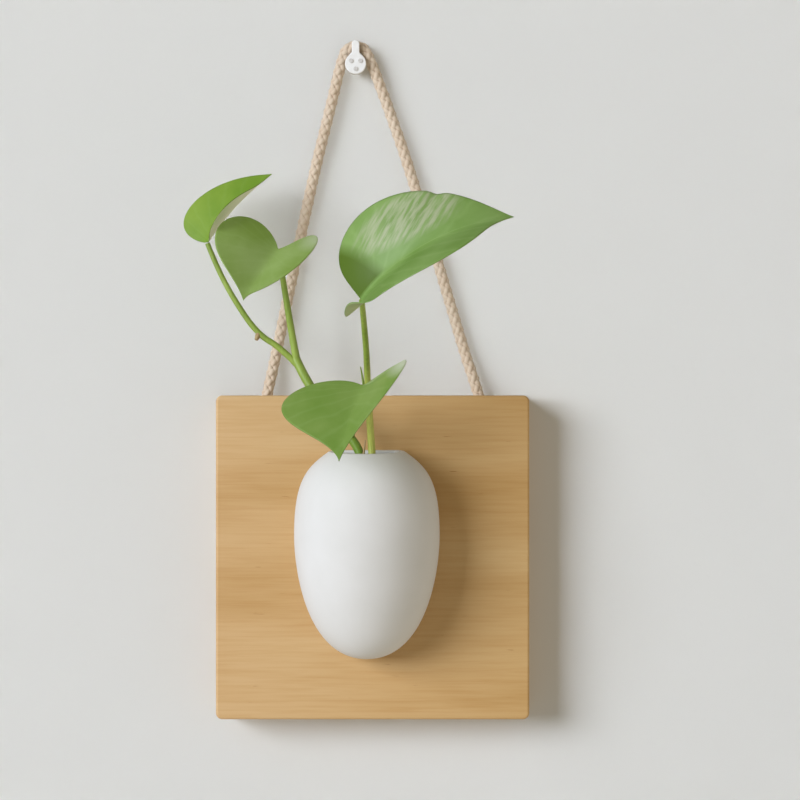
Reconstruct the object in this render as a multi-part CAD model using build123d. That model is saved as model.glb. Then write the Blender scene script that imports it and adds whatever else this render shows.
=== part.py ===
from build123d import *
import os
from math import cos, radians, sin, sqrt, tan

# A hanging wall vase: a white half-egg vase hung on a wooden board, which hangs by a rope from a
# small nailed hook and holds two leafy cuttings. Millimetres, +Z up, the wall is the plane y = 0,
# the object stands out of it towards -Y, and the origin is the middle of the hook's round back.

# Wall hook, one white plastic moulding: a hub under the rope, and a front plate with an upright tab
hook_hub_radius = 3.7
hook_plate_radius = 5.1
hook_plate_thickness = 2.2
hook_edge_round = 0.4
hook_tab_width = 3.7
hook_tab_rise = 5.2
hook_tab_round = 1.6
hook_neck_round = 1.6
hook_bend_height = 2.3

# Nails of the hook, each with a thicker neck in the hook and a point
nail_count = 3
nail_circle_radius = 2.6
nail_radius = 0.5
nail_depth_in_wall = 16.0
nail_point_length = 1.6
nail_neck_radius = 0.75
nail_head_radius = 1.05
nail_head_height = 0.4
nail_clearance = 0.05

# Rope, a braided cotton cord, and the stopper knot at each of its ends
rope_diameter = 5.0
rope_clearance = 0.3
rope_bend_radius = 6.2
rope_inner_bend_radius = 4.1
rope_to_plate = 0.5
rope_depth_at_hook = 4.0
rope_depth_at_board = 6.0
rope_into_board = 13.5
knot_radius = 5.0
knot_tail_length = 2.4

# Board, solid wood
board_width = 150.0
board_height = 155.0
board_thickness = 24.0
board_drop = 160.8
board_shift = 8.4
board_corner_radius = 3.0
board_edge_round = 1.2
pocket_radius = 8.0
pocket_depth = 15.0

# Route of the rope, from the end in the board's left over the hook to the end in its right
rope_route = [
    (-46.1, -rope_depth_at_board, -board_drop - rope_into_board),
    (-6.0, -rope_depth_at_hook, 5.9),
    (-2.5, -rope_depth_at_hook, 8.8),
    (1.9, -rope_depth_at_hook, 9.0),
    (5.6, -rope_depth_at_hook, 6.5),
    (64.2, -rope_depth_at_board, -board_drop - rope_into_board),
]

# Vase, a slip-cast half egg with a flat back
vase_belly_radius = 34.5
vase_below_belly = 58.7
vase_above_belly = 40.2
vase_rim_radius = 17.2
vase_rim_slope = 3.0
vase_wall = 3.6
vase_back_wall = 4.0
vase_mouth_radius = 14.6
vase_neck_depth = 20.0
vase_axis_to_back = 10.0
vase_back_gap = 0.2
vase_back_round = 1.5
vase_lip_round = 1.0
vase_rim_drop = 26.0
vase_shift = -2.6

# Pull of the egg's guide points: out at the foot, down from the belly, up from it, and at the shoulder
egg_foot_pull = 0.83
egg_belly_pull_down = 0.28
egg_belly_pull_up = 0.68
egg_shoulder_pull = 0.81

# Screw in the board and the keyhole in the vase's back that hangs on it
screw_radius = 1.8
screw_head_radius = 3.7
screw_head_height = 2.4
screw_head_dome = 0.9
screw_grip = 14.0
screw_head_gap = 0.4
screw_below_rim = 18.0
screw_fit = 0.02
keyhole_slot_clearance = 0.1
keyhole_entry_clearance = 0.5
keyhole_lift = 8.5

# Cuttings: their stems are round, and each blade is a thin sheet. They lean on the front of the
# vase's mouth, and their places are measured from that point of its rim.
right_petiole_radius = 1.5
left_stem_radius = 2.1
heart_petiole_radius = 1.6
far_stem_radius = 1.4
front_petiole_radius = 1.3
right_petiole_route = [
    (4.0, 2.4, -61.2),
    (2.9, 2.6, -6.0),
    (2.1, 2.6, 6.0),
    (1.1, -4.5, 21.4),
    (0.6, -13.0, 34.9),
    (0.3, -33.0, 49.0),
    (-1.3, -56.7, 68.1),
]
left_stem_route = [
    (1.4, 5.6, -59.2),
    (1.0, 5.6, -5.2),
    (-15.4, 10.0, 15.5),
    (-28.0, 13.5, 31.0),
    (-33.9, 15.5, 43.7),
]
heart_petiole_route = [
    (-33.3, 15.4, 42.5),
    (-35.1, 14.3, 52.4),
    (-38.1, 11.8, 71.4),
    (-41.7, 8.4, 94.3),
]
far_stem_route = [
    (-32.5, 15.2, 39.9),
    (-40.8, 15.4, 48.6),
    (-51.6, 15.8, 54.9),
    (-62.3, 16.4, 70.1),
    (-71.4, 17.3, 86.9),
    (-75.8, 17.6, 98.3),
]
front_petiole_route = [
    (-7.4, 7.8, 5.8),
    (-4.8, 0.5, 15.8),
    (-3.0, -11.0, 24.8),
    (-2.0, -19.5, 30.0),
]
stem_bend_share = 0.45

# Each blade: its length, the half width of the sheet it is cut from, the radius of its arch and how far
# along the midrib the arch is highest, the rise of each half per length across, and how far the sheet's
# margins droop below that rise. An outline guides each half's margin from the base to the tip, along the
# midrib and across it. It starts at base, and is turned by roll about the midrib, by climb from level and
# by heading about Z.
blade_thickness = 0.7
blades = {
    "right_leaf": dict(
        length=70.2, half_width=36.3, arch_radius=64.8, crest=56.3,
        left_rise=0.306, right_rise=0.758, droop=7.7,
        left_outline=[(-1.7, 13.7), (-19.8, 38.8), (17.5, 53.7), (39.9, 22.2), (62.1, 5.3)],
        right_outline=[(-11.5, 7.6), (-2.3, 19.7), (22.1, 44.4), (46.3, 23.0), (59.3, 3.4)],
        base=(-1.4, -57.2, 68.6), heading=14.3, climb=13.1, roll=48.2,
    ),
    "heart_leaf": dict(
        length=36.0, half_width=30.5, arch_radius=268.3, crest=17.7,
        left_rise=0.455, right_rise=0.506, droop=4.4,
        left_outline=[(-7.1, 11.3), (-33.3, 22.2), (11.2, 32.9), (39.2, 13.9), (21.9, 0.8)],
        right_outline=[(-12.9, 8.1), (-22.8, 32.4), (15.0, 42.9), (23.7, 20.2), (24.6, 9.2)],
        base=(-41.8, 7.8, 94.9), heading=-125.5, climb=-43.9, roll=-20.0,
    ),
    "far_leaf": dict(
        length=45.7, half_width=23.0, arch_radius=114.6, crest=18.9,
        left_rise=0.575, right_rise=0.606, droop=0.0,
        left_outline=[(-2.7, 7.0), (-9.8, 21.1), (10.2, 26.8), (28.9, 14.2), (41.7, 7.6)],
        right_outline=[(2.2, 4.3), (-3.8, 22.5), (11.2, 29.0), (24.2, 10.9), (34.0, 0.9)],
        base=(-75.8, 17.8, 98.9), heading=16.9, climb=48.5, roll=13.9,
    ),
    "front_leaf": dict(
        length=47.4, half_width=39.5, arch_radius=178.8, crest=14.9,
        left_rise=0.490, right_rise=0.202, droop=4.3,
        left_outline=[(11.4, 25.9), (-26.3, 29.2), (3.8, 34.3), (32.6, 21.5), (24.6, 4.0)],
        right_outline=[(-7.9, 8.2), (-5.7, 38.7), (16.7, 58.4), (30.6, 27.8), (33.8, 5.2)],
        base=(-2.0, -20.0, 30.5), heading=-107.6, climb=-43.2, roll=7.8,
    ),
}

# Places worked out from the sizes
rope_radius = rope_diameter / 2
knot_flat_distance = sqrt(knot_radius**2 - (rope_radius + rope_clearance) ** 2)
crown_radius = rope_inner_bend_radius - rope_clearance
plate_back = rope_depth_at_hook + rope_radius + rope_to_plate
plate_front = plate_back + hook_plate_thickness
tab_top = hook_bend_height + crown_radius + hook_tab_rise
board_top = -board_drop
vase_x = board_shift + vase_shift
vase_back = board_thickness + vase_back_gap
vase_axis = vase_back + vase_axis_to_back
vase_rim = board_top - vase_rim_drop
vase_belly = vase_rim - vase_above_belly
screw_z = vase_rim - screw_below_rim
screw_head_back = vase_back + vase_back_wall + screw_head_gap
front_of_mouth = Pos(vase_x, -vase_axis - vase_mouth_radius, vase_rim)


def out_of_wall(x, y, z):
    """A work plane at a point, whose normal points out of the wall, with its own y upwards."""
    return Plane(origin=(x, y, z), x_dir=(1, 0, 0), z_dir=(0, -1, 0))


def tube(route, radius, bend_radii):
    """A round tube along straight runs joined by tangent arcs."""
    path = FilletPolyline(*route, radius=bend_radii)
    start = Plane(origin=path @ 0, z_dir=path % 0)
    return sweep(start * Circle(radius), path=path)


def widest_bends(route):
    """The largest arc at each point of a route that its two runs leave room for."""
    radii = []
    for before, here, after in zip(route, route[1:], route[2:]):
        run_in = Vector(*here) - Vector(*before)
        run_out = Vector(*after) - Vector(*here)
        half_turn = radians(run_in.get_angle(run_out) / 2)
        radii.append(stem_bend_share * min(run_in.length, run_out.length) / tan(half_turn))
    return radii


def make_wall_hook():
    """A hub with a crown that carries the rope, and a front plate whose tab keeps the rope on it."""
    hub = Circle(hook_hub_radius) + Pos(0, hook_bend_height) * Circle(crown_radius)
    body = extrude(out_of_wall(0, 0, 0) * hub, plate_back)

    tab = Pos(0, tab_top / 2) * Rectangle(hook_tab_width, tab_top)
    plate = Circle(hook_plate_radius) + tab
    inner_corners = plate.vertices().sort_by(Axis.Y)[-4:-2]
    plate = fillet(inner_corners, hook_neck_round)
    tip = plate.vertices().sort_by(Axis.Y)[-2:]
    plate = fillet(tip, hook_tab_round)
    front_plate = extrude(out_of_wall(0, -plate_back, 0) * plate, hook_plate_thickness)
    front_edge = front_plate.faces().sort_by(Axis.Y)[0].edges()
    front_plate = fillet(front_edge, hook_edge_round)

    hook = body + front_plate
    for spot in nail_spots():
        hook -= extrude(spot * Circle(nail_neck_radius + nail_clearance), plate_front)
    return hook


def nail_spots():
    """Work planes on the wall at the nails, one below the hub's middle and two above it."""
    circle = PolarLocations(nail_circle_radius, nail_count, start_angle=-90)
    return [Plane(out_of_wall(0, 0, 0).location * place) for place in circle]


def make_hook_nails():
    """Thin steel nails with flat heads that rest on the plate and pointed shanks that go into the wall."""
    shank_length = nail_depth_in_wall - nail_point_length
    nails = []
    for spot in nail_spots():
        head = extrude(spot.offset(plate_front) * Circle(nail_head_radius), nail_head_height)
        neck = extrude(spot * Circle(nail_neck_radius), plate_front)
        shank = extrude(spot * Circle(nail_radius), -shank_length)
        point_middle = spot.offset(-shank_length - nail_point_length / 2)
        point = point_middle * Cone(0, nail_radius, nail_point_length)
        nails.append(head + neck + shank + point)
    return nails


def rope_ends():
    """Both ends of the rope, each with the direction that its last run points in."""
    ends = []
    for end, before in ((rope_route[0], rope_route[1]), (rope_route[-1], rope_route[-2])):
        ends.append((Vector(*end), (Vector(*end) - Vector(*before)).normalized()))
    return ends


def make_rope():
    """The rope from one knot over the hook's crown to the other knot."""
    corner_radii = [rope_bend_radius for corner in rope_route[1:-1]]
    print("rope bend radii", corner_radii)
    return tube(rope_route, rope_radius, corner_radii)


def make_knot(end, direction):
    """A stopper knot: a ball with a flat where the rope comes in and a short tail below."""
    centre = end + direction * knot_flat_distance
    ball = Pos(*centre) * Sphere(knot_radius)
    above_rope_end = Plane(origin=end, z_dir=-direction)
    ball -= extrude(above_rope_end * Circle(knot_radius), knot_radius)
    tail_start = Plane(origin=centre, z_dir=direction)
    tail = extrude(tail_start * Circle(rope_radius), knot_radius + knot_tail_length)
    return ball + tail


def make_board():
    """The board with a slanted rope hole at each side, a knot pocket behind each and a screw hole."""
    middle = (board_shift, -board_thickness / 2, board_top - board_height / 2)
    board = Pos(*middle) * Box(board_width, board_thickness, board_height)
    board = fillet(board.edges().filter_by(Axis.Y), board_corner_radius)
    front = board.faces().sort_by(Axis.Y)[0].edges()
    back = board.faces().sort_by(Axis.Y)[-1].edges()
    board = fillet(front + back, board_edge_round)

    hole_radius = rope_radius + rope_clearance
    for end, direction in rope_ends():
        drill = Plane(origin=end, z_dir=-direction)
        board -= extrude(drill * Circle(hole_radius), rope_into_board + board_thickness)
        knot_to_pocket = pocket_radius - knot_radius - rope_clearance
        pocket_middle = end + direction * (knot_flat_distance + knot_to_pocket)
        behind = out_of_wall(pocket_middle.X, 0, pocket_middle.Z)
        board -= extrude(behind * Circle(pocket_radius), pocket_depth)

    screw_hole = out_of_wall(vase_x, -board_thickness, screw_z)
    return board - extrude(screw_hole * Circle(screw_radius + screw_fit), -screw_grip)


def egg(inset, top):
    """The egg turned about the vase's axis, drawn in by an inset and carried up to a top radius."""
    belly = vase_belly_radius - inset
    foot = -vase_below_belly + inset
    rim = vase_above_belly - inset
    shoulder = (egg_shoulder_pull * belly, egg_shoulder_pull * rim)
    lower = Bezier((0, foot), (egg_foot_pull * belly, foot), (belly, egg_belly_pull_down * foot), (belly, 0))
    upper = Bezier((belly, 0), (belly, egg_belly_pull_up * rim), shoulder, (top, rim))
    ceiling = Line((top, rim), (0, rim))
    axis_line = Line((0, rim), (0, foot))
    half = make_face([lower, upper, ceiling, axis_line])
    upright = Plane(origin=(vase_x, -vase_axis, vase_belly), x_dir=(1, 0, 0), z_dir=(0, -1, 0))
    return revolve(upright * half, Axis((vase_x, -vase_axis, vase_belly), (0, 0, 1)))


def in_front_of(depth):
    """A block in front of a plane parallel to the wall, larger than the egg on every side."""
    side = 2 * (vase_belly_radius + vase_below_belly + vase_above_belly)
    return Pos(vase_x, -depth - side / 2, vase_belly) * Box(side, side, side)


def make_vase():
    """The hollow half egg with its open mouth, which slopes to the front, its flat back and its keyhole."""
    body = egg(0, vase_rim_radius) & in_front_of(vase_back)
    back_face = body.faces().sort_by(Axis.Y)[-1]
    body = fillet(back_face.edges(), vase_back_round)

    inner_back = vase_back + vase_back_wall
    mouth_plane = Plane(origin=(vase_x, -vase_axis, vase_rim))
    mouth = extrude(mouth_plane * Circle(vase_mouth_radius), -vase_neck_depth)
    hollow = (egg(vase_wall, vase_mouth_radius) + mouth) & in_front_of(inner_back)
    slope = radians(vase_rim_slope)
    above_rim = Plane(origin=(vase_x, -vase_back, vase_rim), z_dir=(0, -sin(slope), cos(slope)))
    too_high = extrude(above_rim * Rectangle(4 * vase_belly_radius, 4 * vase_belly_radius), vase_neck_depth)
    vase = body - hollow - too_high
    top_face = vase.faces().filter_by(GeomType.PLANE).sort_by(Axis.Z)[-1]
    lip = top_face.inner_wires()[0].edges()
    vase = fillet(lip, vase_lip_round)

    slot_radius = screw_radius + keyhole_slot_clearance
    entry_radius = screw_head_radius + keyhole_entry_clearance
    hang = out_of_wall(vase_x, -vase_back, screw_z)
    slot = Pos(0, -keyhole_lift / 2) * Rectangle(2 * slot_radius, keyhole_lift)
    keyhole = Circle(slot_radius) + slot + Pos(0, -keyhole_lift) * Circle(entry_radius)
    return vase - extrude(hang * keyhole, vase_back_wall)


def make_vase_screw():
    """A pan-head screw in the board that the keyhole hangs on."""
    start = out_of_wall(vase_x, -(board_thickness - screw_grip), screw_z)
    shank = extrude(start * Circle(screw_radius), screw_grip + screw_head_back - board_thickness)
    under_head = out_of_wall(vase_x, -screw_head_back, screw_z)
    head = extrude(under_head * Circle(screw_head_radius), screw_head_height)
    head = fillet(head.faces().sort_by(Axis.Y)[0].edges(), screw_head_dome)
    return shank + head


def blade_side(reach, rise, droop, side, level):
    """One half of a blade's cross-section, from the midrib outwards, at a level above the middle."""
    end = (side * reach, rise * reach - droop + level)
    return Bezier((0, level), (side * reach / 2, rise * reach / 2 + level), end)


def half_outline(length, guides, side):
    """One half of a blade's outline, from its base round the lobe to its tip."""
    points = [(along, side * across) for along, across in guides]
    return Bezier((0, 0), *points, (length, 0))


def make_blade(blade):
    """A blade: an arched, folded sheet turned about an axis across it and cut to the heart outline."""
    arch_radius = blade["arch_radius"]
    crest = blade["crest"]
    axis_depth = -sqrt(arch_radius**2 - crest**2)
    halves = [
        (1, blade["left_rise"], blade["left_outline"]),
        (-1, blade["right_rise"], blade["right_outline"]),
    ]
    section_edges = []
    outline_edges = []
    for side, rise, guides in halves:
        upper = blade_side(blade["half_width"], rise, blade["droop"], side, blade_thickness / 2)
        lower = blade_side(blade["half_width"], rise, blade["droop"], side, -blade_thickness / 2)
        section_edges += [upper, lower, Line(upper @ 1, lower @ 1)]
        outline_edges.append(half_outline(blade["length"], guides, side))

    over_crest = Plane(origin=(crest, 0, axis_depth + arch_radius), x_dir=(0, 1, 0), z_dir=(1, 0, 0))
    section = over_crest * make_face(section_edges)
    across = Axis((crest, 0, axis_depth), (0, 1, 0))
    sheet = revolve(section.rotate(across, -90), across, 180)
    flat = sheet & extrude(make_face(outline_edges), 2 * arch_radius, both=True)
    turned = Rot(Z=blade["heading"]) * Rot(Y=-blade["climb"]) * Rot(X=blade["roll"]) * flat
    return front_of_mouth * Pos(*blade["base"]) * turned


def make_stem(route, radius, *cut_by):
    """A stem along its route, cut where it grows out of another stem or into a blade."""
    stem = front_of_mouth * tube(route, radius, widest_bends(route))
    for other in cut_by:
        stem -= other
    return stem.solids().sort_by(SortBy.VOLUME)[-1]


def build():
    """Every piece by name. Pieces that are alike share a name, as a list of solids."""
    left_end, right_end = rope_ends()
    pieces = {
        "wall_hook": make_wall_hook(),
        "hook_nails": make_hook_nails(),
        "rope": make_rope(),
        "rope_knot_left": make_knot(*left_end),
        "rope_knot_right": make_knot(*right_end),
        "board": make_board(),
        "vase": make_vase(),
        "vase_screw": make_vase_screw(),
    }
    for name, blade in blades.items():
        pieces[name] = make_blade(blade)
    left_stem = make_stem(left_stem_route, left_stem_radius)
    heart_petiole = make_stem(heart_petiole_route, heart_petiole_radius, left_stem, pieces["heart_leaf"])
    far_stem = make_stem(far_stem_route, far_stem_radius, left_stem, heart_petiole, pieces["far_leaf"])
    front_petiole = make_stem(front_petiole_route, front_petiole_radius, left_stem, pieces["front_leaf"])
    right_petiole = make_stem(right_petiole_route, right_petiole_radius, pieces["right_leaf"])
    pieces["left_stem"] = left_stem
    pieces["heart_petiole"] = heart_petiole
    pieces["far_stem"] = far_stem
    pieces["front_petiole"] = front_petiole
    pieces["right_petiole"] = right_petiole
    return pieces


os.makedirs("parts", exist_ok=True)
for name, piece in build().items():
    shape = Compound(children=piece) if isinstance(piece, list) else piece
    export_step(shape, os.path.join("parts", name + ".step"))
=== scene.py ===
import math

import bpy
import numpy as np
from mathutils import Matrix, Vector


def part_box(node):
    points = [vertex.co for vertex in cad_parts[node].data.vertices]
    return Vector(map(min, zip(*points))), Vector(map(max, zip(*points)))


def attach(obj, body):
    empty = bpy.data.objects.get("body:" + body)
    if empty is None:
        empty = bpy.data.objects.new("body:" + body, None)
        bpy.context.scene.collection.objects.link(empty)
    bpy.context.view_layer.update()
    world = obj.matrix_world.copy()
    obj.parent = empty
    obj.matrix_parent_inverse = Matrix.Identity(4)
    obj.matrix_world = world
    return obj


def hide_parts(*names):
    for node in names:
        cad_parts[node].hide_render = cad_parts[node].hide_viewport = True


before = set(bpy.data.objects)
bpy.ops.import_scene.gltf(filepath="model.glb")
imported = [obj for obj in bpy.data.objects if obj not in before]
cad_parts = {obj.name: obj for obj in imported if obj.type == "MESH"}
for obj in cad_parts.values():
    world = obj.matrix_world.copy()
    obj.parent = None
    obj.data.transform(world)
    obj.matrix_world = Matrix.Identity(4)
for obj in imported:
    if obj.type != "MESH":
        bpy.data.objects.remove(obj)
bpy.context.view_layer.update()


# View and light: the wall is looked at squarely from the height of the board's top edge, through a
# long lens, in soft daylight from a window to the left, above and in front of it. The room sends some
# of it back, most from the floor and from the right.
mm = 0.001
view_distance = 1200 * mm
view_centre = Vector((21.5, 0, -163)) * mm
frame_width_px = 800
lens_px = 2459
window_direction = Vector((-1.13, -1.0, 0.37))
window_distance = 9.0
window_width = 5.2
window_height = 4.4
window_power = 965
window_colour = (0.865, 0.912, 1.0)
share_past_thin_pieces = 0.42
room_brightness = 0.445
room_colour = (1.0, 0.925, 0.79, 1)
room_lean = (0.5, 0.2, -0.5)
backdrop_colour = (0.7, 0.7, 0.69, 1)

scene = bpy.context.scene
scene.view_settings.view_transform = "Standard"

camera = bpy.data.objects.new("camera", bpy.data.cameras.new("camera"))
camera.location = view_centre + Vector((0, -view_distance, 0))
camera.rotation_euler = (math.radians(90), 0, 0)
camera.data.lens = camera.data.sensor_width * lens_px / frame_width_px
scene.collection.objects.link(camera)
scene.camera = camera

# The window is three lamps in one place. The section on soft shadows says what each of them lights.
window = bpy.data.objects.new("window", bpy.data.lights.new("window", "AREA"))
window.location = view_centre + window_direction.normalized() * window_distance
window.rotation_euler = (-window_direction).to_track_quat("-Z", "Y").to_euler()
window.data.shape = "RECTANGLE"
window.data.size = window_width
window.data.size_y = window_height
window.data.color = window_colour
window.data.energy = window_power * (1 - share_past_thin_pieces)
window_on_wall = window.copy()
window_on_wall.data = window.data.copy()
past_thin_pieces = window.copy()
past_thin_pieces.data = window.data.copy()
past_thin_pieces.data.energy = window_power * share_past_thin_pieces
for lamp in (window, window_on_wall, past_thin_pieces):
    scene.collection.objects.link(lamp)


def feed(tree, socket, value):
    """Sets an input of a shader node to a value, or links it to a socket of another node."""
    if isinstance(value, bpy.types.NodeSocket):
        tree.links.new(value, socket)
    else:
        socket.default_value = value


def add_node(tree, kind, settings=None, **inputs):
    """A shader node with its settings, and with each named input fed."""
    node = tree.nodes.new(kind)
    for name, value in (settings or {}).items():
        setattr(node, name, value)
    for name, value in inputs.items():
        feed(tree, node.inputs[name.replace("_", " ")], value)
    return node


def work_out(tree, operation, *values, kind="ShaderNodeMath"):
    """The number that a math node makes of numbers, vectors and sockets."""
    node = add_node(tree, kind, {"operation": operation})
    for socket, value in zip(node.inputs, values):
        feed(tree, socket, value)
    return node.outputs["Value"]


def mix_shaders(tree, share, first, second):
    """A shader that goes over into another one by a share."""
    node = add_node(tree, "ShaderNodeMixShader", Fac=share)
    tree.links.new(first.outputs[0], node.inputs[1])
    tree.links.new(second.outputs[0], node.inputs[2])
    return node.outputs[0]


scene.world = bpy.data.worlds.new("room")
scene.world.use_nodes = True
room_tree = scene.world.node_tree
room_tree.nodes.clear()
outward = add_node(room_tree, "ShaderNodeTexCoord").outputs["Generated"]
lean = work_out(room_tree, "DOT_PRODUCT", outward, room_lean, kind="ShaderNodeVectorMath")
strength = work_out(room_tree, "MULTIPLY_ADD", lean, room_brightness, room_brightness)
room_light = add_node(room_tree, "ShaderNodeBackground", Color=room_colour, Strength=strength)
backdrop = add_node(room_tree, "ShaderNodeBackground", Color=backdrop_colour)
to_camera = add_node(room_tree, "ShaderNodeLightPath").outputs["Is Camera Ray"]
room = mix_shaders(room_tree, to_camera, room_light, backdrop)
add_node(room_tree, "ShaderNodeOutputWorld", Surface=room)


# Wall: painted plaster, pale grey. It belongs to the stage. It is seen only from the room's side and
# holds back no light, so that the back of the board can be looked at too.
wall_size = 8.0
wall_gap = 0.2 * mm
wall_grey = (215, 215, 211)


def srgb(red, green, blue):
    """A colour as it looks on a screen, from 0 to 255, as the shader's own linear numbers."""
    linear = []
    for value in (red, green, blue):
        share = value / 255
        linear.append(share / 12.92 if share <= 0.04045 else ((share + 0.055) / 1.055) ** 2.4)
    return (*linear, 1)


def new_material(name, **inputs):
    """A material with its node tree and Principled shader, whose sockets take the given constants."""
    material = bpy.data.materials.new(name)
    material.use_nodes = True
    shader = material.node_tree.nodes["Principled BSDF"]
    for socket, value in inputs.items():
        shader.inputs[socket.replace("_", " ")].default_value = value
    return material, material.node_tree, shader


bpy.ops.object.select_all(action="DESELECT")
bpy.ops.mesh.primitive_plane_add(
    size=wall_size, rotation=(math.radians(90), 0, 0), location=(0, wall_gap, 0)
)
wall = bpy.context.object
wall.name = "wall"
wall.visible_diffuse = False
wall.visible_glossy = False
wall.visible_transmission = False
wall.visible_shadow = False
paint, tree, shader = new_material(
    "wall_paint", Base_Color=srgb(*wall_grey), Roughness=0.9, Specular_IOR_Level=0.0
)
from_behind = add_node(tree, "ShaderNodeNewGeometry").outputs["Backfacing"]
clear = add_node(tree, "ShaderNodeBsdfTransparent")
one_sided = mix_shaders(tree, from_behind, shader, clear)
feed(tree, tree.nodes["Material Output"].inputs["Surface"], one_sided)
wall.data.materials.append(paint)


# Wall hook: a small white plastic moulding, a hub that the rope hangs over and a round front plate with
# an upright tab that keeps the rope on it. Its nails hold it on the wall.
mottles_per_metre = 350.0
mottle_depth = 0.1 * mm


def even_noise(tree, per_metre, detail):
    """Noise that is alike in every direction, with so many features in a metre."""
    place = add_node(tree, "ShaderNodeTexCoord").outputs["Object"]
    noise = add_node(tree, "ShaderNodeTexNoise", Vector=place, Scale=per_metre, Detail=detail)
    return noise.outputs["Fac"]


def colour_ramp(tree, factor, *stops):
    """A colour ramp on a factor, from pairs of a place between 0 and 1 and a colour."""
    node = add_node(tree, "ShaderNodeValToRGB", Fac=factor)
    elements = node.color_ramp.elements
    while len(elements) < len(stops):
        elements.new(1.0)
    for element, (place, colour) in zip(elements, stops):
        element.position = place
        element.color = colour
    return node.outputs["Color"]


def add_bump(tree, shader, height, strength, depth):
    """Small relief on a shader, from a height between 0 and 1."""
    bump = add_node(tree, "ShaderNodeBump", Height=height, Strength=strength, Distance=depth)
    feed(tree, shader.inputs["Normal"], bump.outputs["Normal"])


def dress(node, material):
    """Gives a CAD node its material."""
    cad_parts[node].data.materials.clear()
    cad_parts[node].data.materials.append(material)


hook_plastic, tree, shader = new_material("hook_plastic", Roughness=0.42)
mottle = even_noise(tree, mottles_per_metre, detail=3.0)
plastic_white = colour_ramp(tree, mottle, (0.3, srgb(230, 229, 226)), (0.7, srgb(238, 238, 236)))
feed(tree, shader.inputs["Base Color"], plastic_white)
add_bump(tree, shader, mottle, strength=0.15, depth=mottle_depth)
dress("wall_hook", hook_plastic)


# Hook nails: three thin pins of bright steel with flat heads, a little scuffed by the hammer that drove
# them through the hook into the wall.
scuffs_per_metre = 1800.0
scuff_depth = 0.05 * mm


def remap(tree, value, start=0.0, end=1.0, low=0.0, high=1.0):
    """A value that goes from start to end, made to go from low to high and held there."""
    node = add_node(
        tree, "ShaderNodeMapRange", Value=value, From_Min=start, From_Max=end, To_Min=low, To_Max=high
    )
    return node.outputs[0]


nail_steel, tree, shader = new_material("nail_steel", Metallic=0.3)
scuffs = even_noise(tree, scuffs_per_metre, detail=4.0)
steel_colour = colour_ramp(tree, scuffs, (0.35, srgb(204, 201, 197)), (0.7, srgb(226, 223, 219)))
feed(tree, shader.inputs["Base Color"], steel_colour)
feed(tree, shader.inputs["Roughness"], remap(tree, scuffs, low=0.35, high=0.6))
add_bump(tree, shader, scuffs, strength=0.2, depth=scuff_depth)
dress("hook_nails", nail_steel)


# Rope: a round braid of natural cotton, 5 to 6 mm thick, from a knot in the board's back up through its
# top edge, along the wall, over the hook and down again. Four strands wind each way, over and under.
# A strand's half thickness, half width and weave are shares of the braid's diameter.
rope_diameter = 5.7 * mm
rope_route = [
    (-46.1, -6.0, -174.3),
    (-42.5, -6.0, -158.0),
    (-38.6, -3.3, -140.0),
    (-21.2, -3.3, -56.0),
    (-13.0, -3.3, -23.4),
    (-6.0, -4.0, 5.9),
    (-2.5, -4.0, 8.8),
    (1.9, -4.0, 9.0),
    (5.6, -4.0, 6.5),
    (16.2, -3.3, -22.0),
    (25.0, -3.3, -47.0),
    (45.0, -3.3, -113.0),
    (52.9, -3.3, -140.0),
    (58.9, -6.0, -158.0),
    (64.2, -6.0, -174.3),
]
rope_resolution = 24
braid_lead = 20.0 * mm
strands_each_way = 4
steps_per_lead = 48
strand_sides = 6
strand_half_thick = 0.12
strand_half_wide = 0.24
strand_weave = 0.06
yarns_across = 3.0
yarns_per_metre = 420.0
yarn_depth = 0.2 * mm
half_wave = 0.5
tints_per_metre = 140.0
tint_share = 0.25


def smooth_curve(name, route, resolution):
    """A smooth curve that follows a route of points in millimetres and starts and ends on it."""
    curve = bpy.data.curves.new(name, "CURVE")
    curve.dimensions = "3D"
    curve.resolution_u = resolution
    spline = curve.splines.new("NURBS")
    spline.points.add(len(route) - 1)
    for point, place in zip(spline.points, route):
        point.co = (*(Vector(place) * mm), 1)
    spline.order_u = 3
    spline.use_endpoint_u = True
    return curve


def line_points(name, route, resolution):
    """Points along the smooth curve of a route."""
    line = bpy.data.objects.new(name, smooth_curve(name, route, resolution))
    mesh = bpy.data.meshes.new_from_object(line)
    points = np.array([vertex.co for vertex in mesh.vertices])
    bpy.data.objects.remove(line)
    bpy.data.meshes.remove(mesh)
    return points


def unit(vectors):
    """Vectors of length one in the same directions."""
    return vectors / np.linalg.norm(vectors, axis=-1, keepdims=True)


def even_line(points, step):
    """A line of points spaced evenly, with the distance along it and two directions across it."""
    run = np.concatenate([[0], np.cumsum(np.linalg.norm(np.diff(points, axis=0), axis=1))])
    along = np.linspace(0, run[-1], int(run[-1] / step) + 1)
    line = np.stack([np.interp(along, run, points[:, axis]) for axis in range(3)], axis=1)
    tangent = unit(np.gradient(line, axis=0))
    across = np.zeros_like(line)
    side = np.array((0.0, -1.0, 0.0))
    for index, direction in enumerate(tangent):
        side = unit(side - (side @ direction) * direction)
        across[index] = side
    return line, along, across, np.cross(tangent, across)


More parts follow.
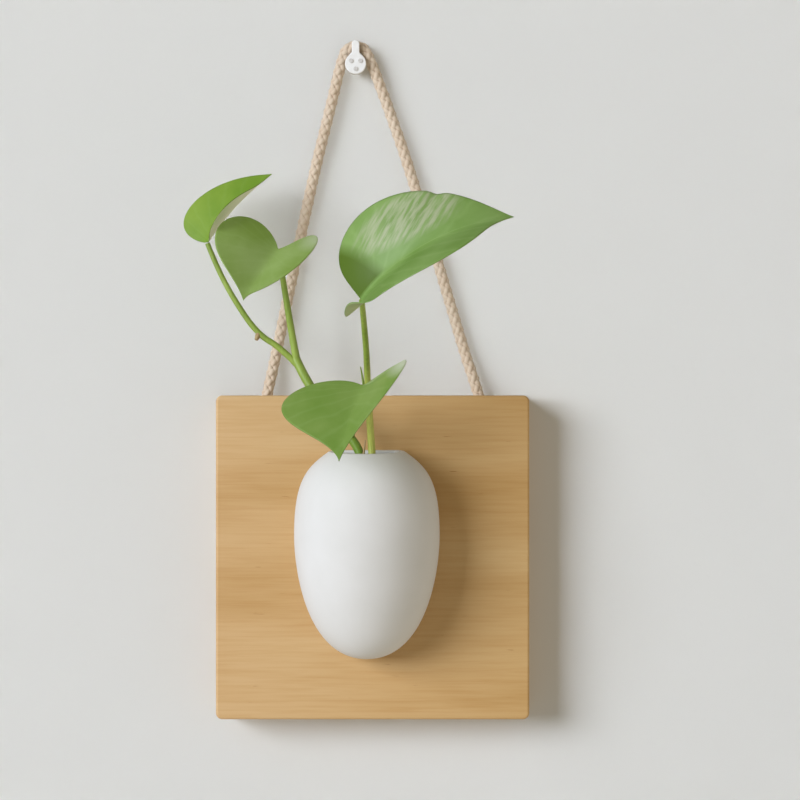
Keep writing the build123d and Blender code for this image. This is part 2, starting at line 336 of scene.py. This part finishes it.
def braid_mesh(name, points, diameter):
    """A braided cord along a line: strands that wind both ways round a core and pass over and under."""
    line, along, across, beside = even_line(points, braid_lead / steps_per_lead)
    half_thick = strand_half_thick * diameter
    half_wide = strand_half_wide * diameter
    weave = strand_weave * diameter
    middle = diameter / 2 - half_thick - weave
    winding = 2 * math.pi * along / braid_lead
    strands = [(None, 0)]
    for number in range(strands_each_way):
        strands += [(1, number), (-1, number)]
    vertices, faces, uvs, heights = [], [], [], []
    for way, number in strands:
        if way is None:
            centre, outward, sideways = line, across, beside
            thick = wide = middle
        else:
            angle = way * winding + 2 * math.pi * number / strands_each_way
            outward = np.cos(angle)[:, None] * across + np.sin(angle)[:, None] * beside
            reach = middle + way * weave * np.cos(strands_each_way * winding)
            centre = line + reach[:, None] * outward
            sideways = unit(np.cross(np.gradient(centre, axis=0), outward))
            thick, wide = half_thick, half_wide
        first = sum(len(part) for part in vertices)
        turns = 2 * np.pi * np.arange(strand_sides) / strand_sides
        ring = thick * np.cos(turns)[None, :, None] * outward[:, None, :]
        ring = ring + wide * np.sin(turns)[None, :, None] * sideways[:, None, :]
        skin = (centre[:, None, :] + ring).reshape(-1, 3)
        vertices.append(skin)
        spine = np.repeat(line, strand_sides, axis=0)
        heights.append(np.linalg.norm(skin - spine, axis=1) / (diameter / 2))
        for step in range(len(line) - 1):
            for side in range(strand_sides):
                here = first + step * strand_sides
                after = here + strand_sides
                follows = (side + 1) % strand_sides
                faces.append((here + side, here + follows, after + follows, after + side))
                near, far = along[step], along[step + 1]
                low, high = side / strand_sides, (side + 1) / strand_sides
                uvs += [(low, near), (high, near), (high, far), (low, far)]
        for end in (0, len(line) - 1):
            cap = [first + end * strand_sides + side for side in range(strand_sides)]
            faces.append(tuple(reversed(cap)) if end == 0 else tuple(cap))
            uvs += [(0.0, along[end])] * strand_sides
    mesh = bpy.data.meshes.new(name)
    mesh.from_pydata(np.concatenate(vertices).tolist(), [], faces)
    layer = mesh.uv_layers.new(name="strand")
    layer.data.foreach_set("uv", np.array(uvs, np.float32).ravel())
    height = mesh.attributes.new("height", "FLOAT", "POINT")
    height.data.foreach_set("value", np.concatenate(heights).astype(np.float32))
    mesh.shade_smooth()
    piece = bpy.data.objects.new(name, mesh)
    scene.collection.objects.link(piece)
    return piece


def lay_over(tree, share, base, over, way="MIX"):
    """A colour laid over another one by a share, mixed with it or multiplied by it."""
    settings = {"data_type": "RGBA", "blend_type": way}
    return add_node(tree, "ShaderNodeMix", settings, Factor=share, A=base, B=over).outputs["Result"]


rope_cotton, tree, shader = new_material(
    "rope_cotton", Roughness=0.9, Specular_IOR_Level=0.15, Sheen_Weight=0.25, Sheen_Roughness=0.6
)
strand_place = add_node(tree, "ShaderNodeUVMap", {"uv_map": "strand"}).outputs["UV"]
strand_parts = add_node(tree, "ShaderNodeSeparateXYZ", Vector=strand_place)
yarns_along = work_out(tree, "MULTIPLY", strand_parts.outputs["Y"], yarns_per_metre)
twist = work_out(tree, "MULTIPLY_ADD", strand_parts.outputs["X"], yarns_across, yarns_along)
yarn = work_out(tree, "PINGPONG", twist, half_wave)
# Painted shade: the cotton's colour is darker low in the braid, in the hollows between the strands.
depth = add_node(tree, "ShaderNodeAttribute", {"attribute_name": "height"}).outputs["Fac"]
cotton_and_painted_shade = colour_ramp(
    tree, depth, (0.6, srgb(172, 140, 112)), (0.74, srgb(205, 184, 161)), (0.93, srgb(213, 196, 175))
)
tint = even_noise(tree, tints_per_metre, detail=3.0)
tint_colour = colour_ramp(tree, tint, (0.3, srgb(236, 218, 198)), (0.65, srgb(255, 253, 248)))
feed(tree, shader.inputs["Base Color"], lay_over(tree, tint_share, cotton_and_painted_shade, tint_colour, "MULTIPLY"))
add_bump(tree, shader, yarn, strength=0.35, depth=yarn_depth)

rope_line = line_points("rope_line", rope_route, rope_resolution)
rope = braid_mesh("braided_rope", rope_line, rope_diameter)
rope.data.materials.append(rope_cotton)
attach(rope, "hanger")
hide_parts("rope")


# Knots: each end of the rope is tied in an overhand knot, pulled tight and thinner than the free rope,
# that stops it in a pocket of the board's back.
knot_rope_diameter = 4.6 * mm
knot_size = 1.3
knot_depth = 1.1
knot_steps = 14
knot_start = 0.04
knot_loops = 0.92
knot_lead_in = 0.4
knot_resolution = 12


def tie_knot(name, node, end):
    """An overhand knot below an end of the rope, as an open trefoil of the same braid."""
    low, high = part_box(node)
    middle = (low + high) / 2 / mm
    route = [end, Vector(end).lerp(middle, knot_lead_in)]
    for step in range(1, knot_steps):
        turn = 2 * math.pi * (knot_start + knot_loops * step / knot_steps)
        loop = Vector((
            math.sin(turn) + 2 * math.sin(2 * turn),
            -knot_depth * math.sin(3 * turn),
            math.cos(turn) - 2 * math.cos(2 * turn),
        ))
        route.append(middle + loop * knot_size)
    knot = braid_mesh(name, line_points(name + "_line", route, knot_resolution), knot_rope_diameter)
    knot.data.materials.append(rope_cotton)
    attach(knot, "hanger")
    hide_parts(node)
    return knot


left_knot = tie_knot("left_knot", "rope_knot_left", rope_route[0])
right_knot = tie_knot("right_knot", "rope_knot_right", rope_route[-1])


# Board: one square of light hardwood with its grain running across, its edges softly rounded and oiled.
# Its colour is darkened towards the right as painted shade. The rope comes in through its top edge,
# and a screw in its face carries the vase.
bands_per_metre = (7, 34, 46)
streaks_per_metre = (26, 460, 640)
flecks_per_metre = (75, 800, 1000)
streak_depth = 0.12 * mm
# Painted shade: the wood's colour darkens from this place towards the board's right edge.
painted_shade_from = -60 * mm
painted_shade_full_at = 80 * mm
painted_shade_tone = srgb(243, 241, 228)
white = srgb(255, 255, 255)


def grain(tree, per_metre, detail, rough):
    """Noise drawn out along the grain, with so many features in a metre each way."""
    place = add_node(tree, "ShaderNodeTexCoord").outputs["Object"]
    stretched = add_node(tree, "ShaderNodeMapping", Vector=place, Scale=per_metre).outputs[0]
    noise = add_node(
        tree, "ShaderNodeTexNoise", Vector=stretched, Scale=1.0, Detail=detail, Roughness=rough
    )
    return noise.outputs["Fac"]


def object_place(tree, axis):
    """The place of a point on a piece along one axis of the part."""
    place = add_node(tree, "ShaderNodeTexCoord").outputs["Object"]
    return add_node(tree, "ShaderNodeSeparateXYZ", Vector=place).outputs[axis]


board_wood, tree, shader = new_material("board_wood", Specular_IOR_Level=0.3)
bands = grain(tree, bands_per_metre, detail=3.0, rough=0.5)
streaks = grain(tree, streaks_per_metre, detail=4.0, rough=0.6)
flecks = grain(tree, flecks_per_metre, detail=2.0, rough=0.5)
wood = colour_ramp(
    tree, bands, (0.3, srgb(196, 157, 104)), (0.5, srgb(205, 168, 118)), (0.7, srgb(211, 177, 129))
)
streak_tone = colour_ramp(tree, streaks, (0.3, srgb(247, 241, 231)), (0.58, white))
fleck_tone = colour_ramp(tree, flecks, (0.2, srgb(208, 184, 152)), (0.27, white))
wood = lay_over(tree, 1.0, wood, streak_tone, "MULTIPLY")
wood = lay_over(tree, 1.0, wood, fleck_tone, "MULTIPLY")
# Painted shade laid over the wood, growing towards the right.
painted_shade_to_right = remap(tree, object_place(tree, "X"), start=painted_shade_from, end=painted_shade_full_at)
wood = lay_over(tree, painted_shade_to_right, wood, painted_shade_tone, "MULTIPLY")
feed(tree, shader.inputs["Base Color"], wood)
feed(tree, shader.inputs["Roughness"], remap(tree, streaks, low=0.62, high=0.5))
add_bump(tree, shader, streaks, strength=0.08, depth=streak_depth)
dress("board", board_wood)


# Vase screw: a zinc-plated pan-head screw that is driven into the board's face, and on which the vase's
# keyhole hangs.
spangles_per_metre = 900.0
screw_steel, tree, shader = new_material("screw_steel", Metallic=1.0)
plating = even_noise(tree, spangles_per_metre, detail=4.0)
zinc = colour_ramp(tree, plating, (0.35, srgb(168, 168, 166)), (0.7, srgb(205, 206, 208)))
feed(tree, shader.inputs["Base Color"], zinc)
feed(tree, shader.inputs["Roughness"], remap(tree, plating, low=0.22, high=0.42))
dress("vase_screw", screw_steel)


# Vase: a half egg of slip-cast ceramic, matte white all over, with an open mouth and a flat back
# that hangs on the screw by a keyhole.
clouds_per_metre = 45.0
grits_per_metre = 1400.0
grit_depth = 0.1 * mm
vase_ceramic, tree, shader = new_material("vase_ceramic", Specular_IOR_Level=0.25)
cloud = even_noise(tree, clouds_per_metre, detail=3.0)
grit = even_noise(tree, grits_per_metre, detail=2.0)
ceramic_white = colour_ramp(tree, cloud, (0.3, srgb(211, 210, 206)), (0.7, srgb(216, 215, 212)))
feed(tree, shader.inputs["Base Color"], ceramic_white)
feed(tree, shader.inputs["Roughness"], remap(tree, cloud, low=0.62, high=0.74))
add_bump(tree, shader, grit, strength=0.06, depth=grit_depth)
dress("vase", vase_ceramic)


# Stems: the two cuttings stand in the water and lean on the front of the mouth. The right one is a
# single leaf stalk, and the left one a fat stem that forks. They are round, and all but the fat stem
# taper upwards. Routes and radii are in millimetres, and routes are measured from the front of the mouth.
vase_low, vase_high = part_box("vase")
vase_middle = (vase_low + vase_high) / 2 / mm
mouth_radius = 14.6
vase_axis_y = -34.2
front_of_mouth = Vector((vase_middle.x, vase_axis_y - mouth_radius, vase_high.z / mm))
stem_routes = {
    "right_petiole": [
        (4.0, 2.4, -61.2),
        (2.9, 2.6, -6.0),
        (2.1, 2.6, 6.0),
        (1.1, -4.5, 21.4),
        (0.6, -13.0, 34.9),
        (0.3, -33.0, 49.0),
        (-1.3, -56.7, 68.1),
    ],
    "left_stem": [
        (1.4, 5.6, -59.2),
        (2.6, 5.8, -6.5),
        (-15.4, 10.0, 15.5),
        (-28.0, 13.5, 31.0),
        (-33.9, 15.5, 43.7),
    ],
    "heart_petiole": [(-33.3, 15.4, 42.5), (-35.1, 14.3, 52.4), (-38.1, 11.8, 71.4), (-41.7, 8.4, 94.3)],
    "far_stem": [
        (-32.5, 15.2, 39.9),
        (-40.8, 15.4, 48.6),
        (-51.6, 15.8, 54.9),
        (-62.3, 16.4, 70.1),
        (-71.4, 17.3, 86.9),
        (-75.8, 17.6, 98.3),
    ],
    "front_petiole": [(-7.4, 7.8, 5.8), (-4.8, 0.5, 15.8), (-3.0, -11.0, 24.8), (-2.0, -19.5, 30.0)],
}
stem_radii = {
    "right_petiole": (1.9, 1.3),
    "left_stem": (2.1, 2.2),
    "heart_petiole": (1.9, 1.3),
    "far_stem": (1.6, 1.2),
    "front_petiole": (1.4, 1.1),
}
stem_resolution = 10
stem_roundness = 5
stem_lines_per_metre = (900, 900, 25)
stem_patches_per_metre = (60, 60, 30)
stem_line_depth = 0.2 * mm
stem_line_share = 0.8
# Painted light: from here down to just above the mouth, the stems go over into another tint set for how
# lit they look.
painted_light_from = -142 * mm
painted_light_full_at = -176 * mm


def stem_material(name, dark, light, foot):
    """Living green with fine lines along the stem, and painted light: another tint low down, above the
    mouth.
    """
    material, tree, shader = new_material(name, Roughness=0.45)
    lines = grain(tree, stem_lines_per_metre, detail=3.0, rough=0.6)
    patches = grain(tree, stem_patches_per_metre, detail=2.0, rough=0.5)
    green = colour_ramp(tree, patches, (0.3, dark), (0.7, light))
    painted_light_low = remap(tree, object_place(tree, "Z"), start=painted_light_from, end=painted_light_full_at)
    green = lay_over(tree, painted_light_low, green, foot)
    line_tone = colour_ramp(tree, lines, (0.3, srgb(215, 222, 196)), (0.65, srgb(255, 255, 250)))
    feed(tree, shader.inputs["Base Color"], lay_over(tree, stem_line_share, green, line_tone, "MULTIPLY"))
    add_bump(tree, shader, lines, strength=0.2, depth=stem_line_depth)
    return material


def grow_stem(name, route, radii, material):
    """A round stem along a route, from a radius at its foot to another at its top."""
    places = [front_of_mouth + Vector(place) for place in route]
    curve = smooth_curve(name, places, stem_resolution)
    curve.bevel_depth = mm
    curve.bevel_resolution = stem_roundness
    curve.use_fill_caps = True
    foot, top = radii
    for number, point in enumerate(curve.splines[0].points):
        point.radius = foot + (top - foot) * number / (len(route) - 1)
    stem = bpy.data.objects.new(name, curve)
    scene.collection.objects.link(stem)
    bpy.ops.object.select_all(action="DESELECT")
    bpy.context.view_layer.objects.active = stem
    stem.select_set(True)
    bpy.ops.object.convert(target="MESH")
    bpy.ops.object.shade_smooth()
    stem = bpy.context.object
    stem.data.materials.clear()
    stem.data.materials.append(material)
    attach(stem, "cuttings")
    return stem


# The last colour of each is painted light on the stem's lower part.
stem_green = stem_material("stem_green", srgb(122, 147, 50), srgb(154, 175, 80), srgb(122, 154, 52))
stalk_green = stem_material("stalk_green", srgb(130, 153, 54), srgb(156, 176, 80), srgb(186, 193, 94))
for stem_node, stem_route in stem_routes.items():
    green = stalk_green if stem_node == "right_petiole" else stem_green
    stalk = grow_stem(stem_node + "_stalk", stem_route, stem_radii[stem_node], green)
    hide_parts(stem_node)


# Bits on the stems: the thin end of a leaf sheath on the right stalk, still green, a brown root nub where
# the far stem bends, and a withered spike that stands in the mouth. Each has its route and its radii.
stem_bits = {
    "sheath_end": ([(-0.2, -3.0, 22.0), (-0.9, -8.0, 31.0), (-2.6, -13.0, 39.2)], (1.0, 0.25)),
    "root_nub": ([(-51.4, 15.8, 55.2), (-52.0, 14.8, 53.6), (-52.4, 14.2, 52.4)], (1.5, 0.9)),
    "dry_spike": ([(-1.6, 3.0, -4.0), (-1.1, 2.6, 1.5), (-0.5, 2.2, 5.0)], (0.7, 0.2)),
}
husk_lines_per_metre = (900, 900, 120)
husk_line_depth = 0.2 * mm
dry_husk, tree, shader = new_material("dry_husk", Roughness=0.7)
husk_lines = grain(tree, husk_lines_per_metre, detail=3.0, rough=0.6)
husk_brown = colour_ramp(tree, husk_lines, (0.3, srgb(138, 108, 66)), (0.7, srgb(186, 164, 120)))
feed(tree, shader.inputs["Base Color"], husk_brown)
add_bump(tree, shader, husk_lines, strength=0.3, depth=husk_line_depth)
for bit_name, (bit_route, bit_radii) in stem_bits.items():
    grow_stem(bit_name, bit_route, bit_radii, stem_green if bit_name == "sheath_end" else dry_husk)


# Leaves: four waxy heart-shaped blades, arched and a little folded along the midrib, paler below. One is
# streaked with cream and plain by its stalk, and the farthest is young and yellow-green. Sizes are in
# millimetres on the flat blade, and places and widths on a margin, a vein or the midrib are shares of it.
blade_columns = 96
blade_rows = 64
blade_thickness = 0.45 * mm
blade_crease = 4.0
seam_width = 0.02 * mm
dip_width = 0.02
dip_steepness = 4
vein_crowding = 4
blade_patches_per_metre = 45.0
blade_blooms_per_metre = 60.0
vein_pairs = 9
vein_bends_per_metre = 60.0
vein_wander = 0.12
vein_width = 0.16
vein_depth = 0.5 * mm
vein_green = srgb(172, 196, 132)
rib_place = 0.5
rib_core = 0.004
rib_edge = 0.012
rib_faint_to = 0.74
rib_clear_from = 0.88
rib_faintness = 0.2
# A paler end on one ear is partly painted sheen.
ear_core = 2.2
ear_reach = 11.0
ear_tint_and_sheen = srgb(204, 206, 186)
streak_lean = math.radians(38)
streak_length = 10.0
streak_width = 1.7
cream_middle = (26.5, 17.0, 0)
cream_reach = (26.0, 13.0, 1)
cream_lean = math.radians(-8)
cream_green = srgb(164, 172, 136)
plain_reach = 10.5
plain_slant = 0.42
plain_edge = 2.2
plain_from_rib = 0.5
plain_in_full = 2.0
plain_green = srgb(77, 103, 14)
leaves = {
    "right_leaf": dict(
        length=70.2, arch_radius=64.8, crest=56.3, left_rise=0.306, right_rise=0.758, curl=-0.0059,
        left_outline=[(-1.7, 13.7), (-19.8, 38.8), (17.5, 53.7), (39.9, 22.2), (62.1, 5.3)],
        right_outline=[(-24.9, 5.9), (-6.8, 14.3), (23.5, 47.1), (51.8, 24.2), (49.1, 3.6)],
        base=(-1.4, -57.2, 68.6), heading=14.3, climb=13.1, roll=48.2, lobe_lift=0.184, dip=(0.697, 1.8),
        dark=srgb(104, 138, 58), light=srgb(124, 155, 82), veins=0.1, rib=0.3,
        ear=(0, 0, 0), ear_tint_and_sheen_share=0.0, cream=True,
    ),
    "heart_leaf": dict(
        length=36.0, arch_radius=268.3, crest=17.7, left_rise=0.455, right_rise=0.506, curl=-0.0047,
        left_outline=[(-7.1, 11.3), (-33.3, 22.2), (11.2, 32.9), (39.2, 13.9), (21.9, 0.8)],
        right_outline=[(-12.9, 8.1), (-22.8, 32.4), (15.0, 42.9), (23.7, 20.2), (24.6, 9.2)],
        base=(-41.8, 7.8, 94.9), heading=-125.5, climb=-43.9, roll=-20.0, lobe_lift=0.0, dip=(0.7, 0.0),
        dark=srgb(118, 145, 60), light=srgb(140, 164, 92), veins=0.05, rib=0.08,
        ear=(-7.0, 18.5, 0), ear_tint_and_sheen_share=0.35, cream=False,
    ),
    "far_leaf": dict(
        length=45.7, arch_radius=114.6, crest=18.9, left_rise=0.575, right_rise=0.606, curl=0.0,
        left_outline=[(-2.7, 7.0), (-9.8, 21.1), (10.2, 26.8), (28.9, 14.2), (41.7, 7.6)],
        right_outline=[(2.2, 4.3), (-3.8, 22.5), (11.2, 29.0), (24.2, 10.9), (34.0, 0.9)],
        base=(-75.8, 17.8, 98.9), heading=16.9, climb=48.5, roll=13.9, lobe_lift=0.0, dip=(0.7, 0.0),
        dark=srgb(105, 141, 36), light=srgb(129, 158, 53), veins=0.04, rib=0.0,
        ear=(0, 0, 0), ear_tint_and_sheen_share=0.0, cream=False,
    ),
    "front_leaf": dict(
        length=47.4, arch_radius=178.8, crest=14.9, left_rise=0.490, right_rise=0.202, curl=-0.0027,
        left_outline=[(11.4, 25.9), (-26.3, 29.2), (3.8, 34.3), (32.6, 21.5), (24.6, 4.0)],
        right_outline=[(-7.9, 8.2), (-5.7, 38.7), (16.7, 58.4), (30.6, 27.8), (33.8, 5.2)],
        base=(-2.0, -20.0, 30.5), heading=-107.6, climb=-43.2, roll=7.8, lobe_lift=0.0, dip=(0.7, 0.0),
        dark=srgb(104, 136, 51), light=srgb(126, 151, 75), veins=0.07, rib=0.05,
        ear=(-1.0, 25.5, 0), ear_tint_and_sheen_share=0.7, cream=False,
    ),
}
black = (0, 0, 0, 1)


def underside_material(name, dark, light):
    """The dull, paler lower side of a leaf."""
    material, tree, shader = new_material(name, Roughness=0.6)
    bloom = even_noise(tree, blade_blooms_per_metre, detail=4.0)
    feed(tree, shader.inputs["Base Color"], colour_ramp(tree, bloom, (0.3, dark), (0.7, light)))
    return material


leaf_underside = underside_material("leaf_underside", srgb(156, 174, 122), srgb(176, 190, 144))
# Painted light: the young leaf's underside is much paler than the others, for daylight shining through
# it.
young_underside_painted_glow = underside_material("young_underside_painted_glow", srgb(206, 214, 178), srgb(218, 224, 194))


def grey(share):
    """A grey that stands for a share."""
    return (share, share, share, 1)


def vein_waves(tree, along):
    """A wave over a blade that is zero on each side vein, where the veins wander a little."""
    bent = even_noise(tree, vein_bends_per_metre, detail=2.0)
    wandering = work_out(tree, "MULTIPLY_ADD", bent, vein_wander, along)
    count = work_out(tree, "MULTIPLY", wandering, vein_pairs)
    return work_out(tree, "PINGPONG", count, half_wave)


def midrib_line(tree, along, across, rib_share):
    """How pale the midrib is at each place of a blade: faint at first and clear towards the tip."""
    off_midrib = work_out(tree, "ABSOLUTE", work_out(tree, "SUBTRACT", across, rib_place))
    on_midrib = colour_ramp(tree, off_midrib, (rib_core, white), (rib_edge, black))
    towards_tip = remap(
        tree, along, start=rib_faint_to, end=rib_clear_from, low=rib_faintness * rib_share, high=rib_share
    )
    return work_out(tree, "MULTIPLY", on_midrib, towards_tip)


def add_cream(tree, flat, colour):
    """Cream streaks along the veins of one half of a blade, and a plain dull patch by its stalk."""
    along_veins = add_node(
        tree, "ShaderNodeMapping", {"vector_type": "TEXTURE"}, Vector=flat,
        Rotation=(0, 0, streak_lean), Scale=(streak_length, streak_width, 1),
    )
    streak = add_node(
        tree, "ShaderNodeTexNoise", Vector=along_veins.outputs[0], Scale=1.0, Detail=5.0
    )
    over_patch = add_node(
        tree, "ShaderNodeMapping", {"vector_type": "TEXTURE"}, Vector=flat,
        Location=cream_middle, Scale=cream_reach, Rotation=(0, 0, cream_lean),
    )
    patch = add_node(
        tree, "ShaderNodeTexGradient", {"gradient_type": "SPHERICAL"}, Vector=over_patch.outputs[0]
    )
    in_streaks = colour_ramp(tree, streak.outputs["Fac"], (0.4, grey(0.15)), (0.6, grey(0.9)))
    in_patch = colour_ramp(tree, patch.outputs["Fac"], (0.0, black), (0.3, white))
    colour = lay_over(tree, work_out(tree, "MULTIPLY", in_streaks, in_patch), colour, cream_green)

    flat_parts = add_node(tree, "ShaderNodeSeparateXYZ", Vector=flat)
    along, across = flat_parts.outputs["X"], flat_parts.outputs["Y"]
    from_stalk = work_out(tree, "MULTIPLY_ADD", across, plain_slant, along)
    near_stalk = remap(tree, from_stalk, start=plain_reach + plain_edge, end=plain_reach - plain_edge)
    left_half = remap(tree, across, start=plain_from_rib, end=plain_in_full)
    return lay_over(tree, work_out(tree, "MULTIPLY", near_stalk, left_half), colour, plain_green)


def leaf_material(name, dark, light, vein_share, rib_share, ear, ear_tint_and_sheen_share, cream):
    """Waxy green, paler veins, an ear's end paler in part as painted sheen, and cream streaks on some
    blades.
    """
    material, tree, shader = new_material(name, Roughness=0.5, Specular_IOR_Level=0.35)
    patches = even_noise(tree, blade_patches_per_metre, detail=5.0)
    green = colour_ramp(tree, patches, (0.32, dark), (0.68, light))
    blade_map = add_node(tree, "ShaderNodeUVMap", {"uv_map": "UVMap"}).outputs["UV"]
    blade_parts = add_node(tree, "ShaderNodeSeparateXYZ", Vector=blade_map)
    along, across = blade_parts.outputs["X"], blade_parts.outputs["Y"]
    waves = vein_waves(tree, along)
    veins = colour_ramp(tree, waves, (0.0, grey(vein_share)), (vein_width, black))
    lines = work_out(tree, "MAXIMUM", veins, midrib_line(tree, along, across, rib_share))
    colour = lay_over(tree, lines, green, vein_green)
    flat = add_node(tree, "ShaderNodeAttribute", {"attribute_name": "flat"}).outputs["Vector"]
    off_ear = work_out(tree, "DISTANCE", flat, ear, kind="ShaderNodeVectorMath")
    tint_and_sheen_at_ear = remap(tree, off_ear, start=ear_core, end=ear_reach, low=ear_tint_and_sheen_share, high=0.0)
    colour = lay_over(tree, tint_and_sheen_at_ear, colour, ear_tint_and_sheen)
    if cream:
        colour = add_cream(tree, flat, colour)
    feed(tree, shader.inputs["Base Color"], colour)
    add_bump(tree, shader, waves, strength=0.08, depth=vein_depth)
    return material


def margin(share, length, guides):
    """Points of half a blade's margin, along the midrib and across it, from base to tip."""
    points = [(0, 0), *guides, (length, 0)]
    order = len(points) - 1
    along = np.zeros_like(share)
    across = np.zeros_like(share)
    for number, (step, reach) in enumerate(points):
        weight = math.comb(order, number) * share**number * (1 - share) ** (order - number)
        along += weight * step
        across += weight * reach
    return along, across


def grow_leaf(node, leaf):
    """A blade shaped from a grid, whose rows run from the midrib to the margin along the veins."""
    bpy.ops.object.select_all(action="DESELECT")
    bpy.ops.mesh.primitive_grid_add(x_subdivisions=blade_columns, y_subdivisions=blade_rows, size=1)
    blade = bpy.context.object
    blade.name = node + "_blade"
    flat = np.array([vertex.co for vertex in blade.data.vertices])
    share = np.clip(flat[:, 0] + 0.5, 0, 1)
    out = np.abs(2 * flat[:, 1])
    left = flat[:, 1] >= 0
    rib = share**vein_crowding * leaf["length"]
    dip_place, dip_depth = leaf["dip"]
    places = np.zeros_like(flat)
    for half, side, rise, guides in (
        (left, 1, leaf["left_rise"], leaf["left_outline"]),
        (~left, -1, leaf["right_rise"], leaf["right_outline"]),
    ):
        edge_along, edge_across = margin(share[half], leaf["length"], guides)
        along = rib[half] * (1 - out[half]) + edge_along * out[half]
        across = edge_across * out[half]
        fold = across * (1 - np.exp(-across / blade_crease))
        arch = leaf["arch_radius"] + rise * fold + leaf["curl"] * across**2
        height = np.sqrt(arch**2 - (along - leaf["crest"]) ** 2)
        height -= math.sqrt(leaf["arch_radius"] ** 2 - leaf["crest"] ** 2)
        if side == 1:
            off_dip = (share[half] - dip_place) / dip_width
            height -= dip_depth * np.exp(-(off_dip**2)) * out[half] ** dip_steepness
        else:
            height += leaf["lobe_lift"] * np.minimum(along, 0) ** 2
        level = np.zeros_like(along)
        flat[half] = np.stack([along, side * across, level], axis=1)
        places[half] = np.stack([along, side * across, height], axis=1)
    turn = Matrix.Rotation(math.radians(leaf["heading"]), 3, "Z")
    turn = turn @ Matrix.Rotation(math.radians(-leaf["climb"]), 3, "Y")
    turn = turn @ Matrix.Rotation(math.radians(leaf["roll"]), 3, "X")
    placed = places @ np.array(turn).T + np.array(leaf["base"]) + np.array(front_of_mouth)
    blade.data.vertices.foreach_set("co", (placed * mm).astype(np.float32).ravel())
    flat_places = blade.data.attributes.new("flat", "FLOAT_VECTOR", "POINT")
    flat_places.data.foreach_set("vector", flat.astype(np.float32).ravel())
    bpy.ops.object.mode_set(mode="EDIT")
    bpy.ops.mesh.select_all(action="SELECT")
    bpy.ops.mesh.remove_doubles(threshold=seam_width)
    bpy.ops.object.mode_set(mode="OBJECT")
    tints = [leaf[key] for key in ("dark", "light", "veins", "rib", "ear", "ear_tint_and_sheen_share", "cream")]
    blade.data.materials.append(leaf_material(node + "_green", *tints))
    blade.data.materials.append(young_underside_painted_glow if node == "far_leaf" else leaf_underside)
    thicken = blade.modifiers.new("thickness", "SOLIDIFY")
    thicken.thickness = blade_thickness
    thicken.offset = 0
    thicken.material_offset = 1
    bpy.ops.object.modifier_apply(modifier=thicken.name)
    bpy.ops.object.shade_smooth()
    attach(blade, "cuttings")
    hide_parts(node)
    return blade


blades = {leaf_node: grow_leaf(leaf_node, leaf_sizes) for leaf_node, leaf_sizes in leaves.items()}


# Soft shadows: the leaves and the rope stop only a part of the daylight, so one lamp passes them all. Of
# the two others, one lights the wall past the leaves that stand well out from it, whose shadows would be
# too dark there, and one lights everything else.
def link_set(name, pieces, state):
    """A set of pieces that a lamp takes in or leaves out."""
    group = bpy.data.collections.new(name)
    for piece in pieces:
        group.objects.link(piece)
    for member in group.collection_objects:
        member.light_linking.link_state = state
    return group


thin_pieces = [*blades.values(), rope]
standing_out = [blades["right_leaf"], blades["heart_leaf"], blades["front_leaf"]]
window.light_linking.receiver_collection = link_set("all_but_wall", [wall], "EXCLUDE")
window_on_wall.light_linking.receiver_collection = link_set("only_wall", [wall], "INCLUDE")
window_on_wall.light_linking.blocker_collection = link_set("all_but_large", standing_out, "EXCLUDE")
past_thin_pieces.light_linking.blocker_collection = link_set("all_but_thin", thin_pieces, "EXCLUDE")
